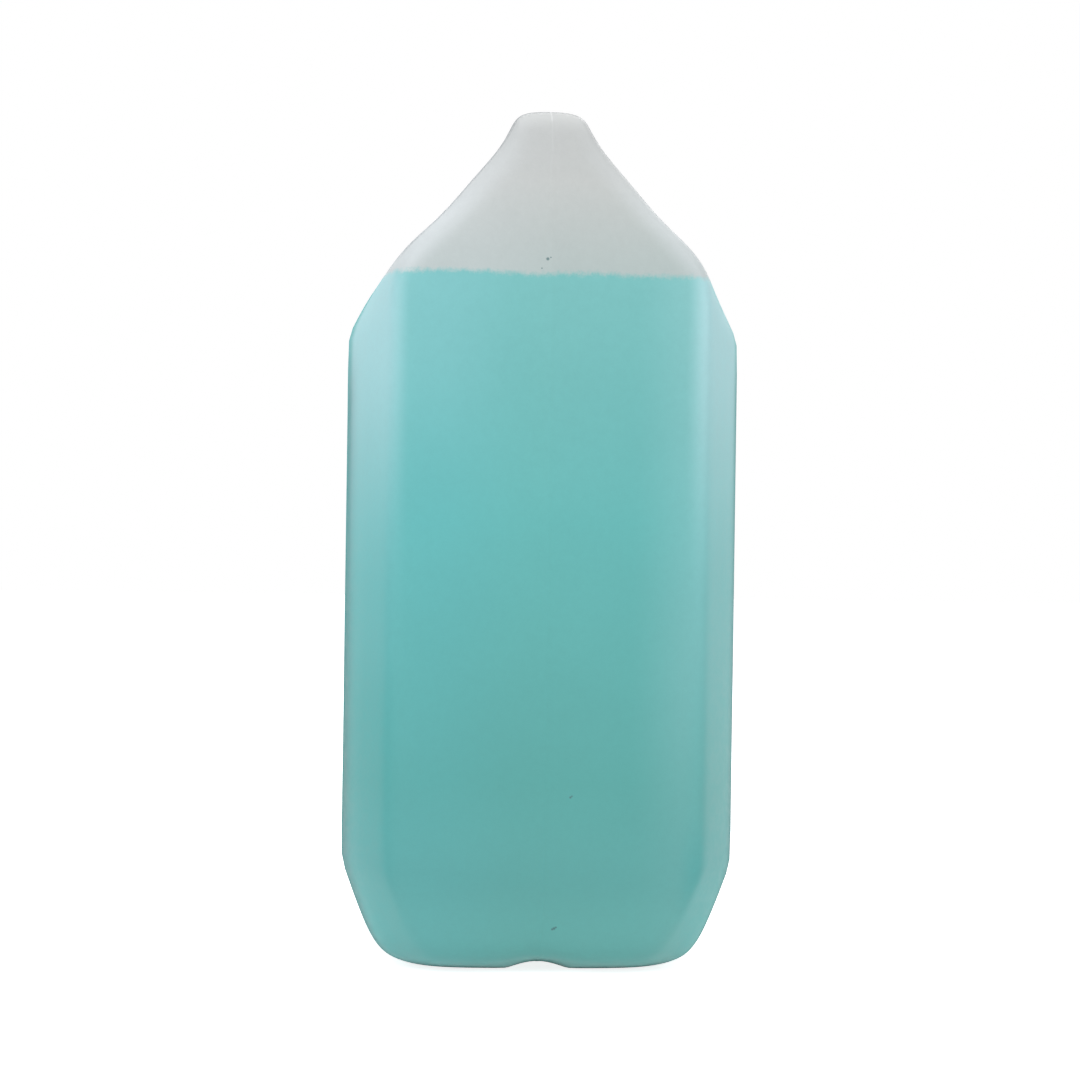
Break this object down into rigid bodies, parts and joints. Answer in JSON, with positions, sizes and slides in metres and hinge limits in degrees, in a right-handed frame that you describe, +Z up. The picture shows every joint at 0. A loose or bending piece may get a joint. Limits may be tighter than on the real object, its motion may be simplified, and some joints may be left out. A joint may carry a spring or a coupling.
{
  "type": "air freshener refill jug",
  "caption": "Tall blow-moulded jug of milky plastic with a hollow grip handle, a chamfered foot and a ribbed screw cap, nearly full of turquoise liquid.",
  "frame": {"origin": "middle of the base, on the surface that the jug stands on", "axes": "+Z up, +Y towards the neck and its cap, -Y towards the flat end wall under the handle, +X across the jug"},
  "size_m": [0.1324, 0.185, 0.2882],
  "materials": {
    "natural_polyethylene": "milky, see-through enough to show the liquid level, satin",
    "tinted_liquid": "clear liquid with a turquoise dye",
    "white_polypropylene": "satin white",
    "foam_liner": "fine closed-cell foam"
  },
  "bodies": {
    "bottle": {"jug": "natural_polyethylene", "liquid": "tinted_liquid", "tamper_band": "white_polypropylene"},
    "liner": {"cap_liner": "foam_liner"},
    "cap": {"screw_cap": "white_polypropylene"}
  },
  "joints": [
    {"name": "liner_rise", "type": "slide", "parent": "bottle", "child": "liner", "axis": [0, 0, 1], "range_m": [0, 0.006]},
    {"name": "cap_turn", "type": "hinge", "parent": "liner", "child": "cap", "pos_m": [0, 0.054, 0.2624], "axis": [0, 0, 1], "range_deg": [0, 540]}
  ],
  "couplings": [
    {"joint": "liner_rise", "follows": "cap_turn", "m_per_rad": 0.0006366}
  ]
}
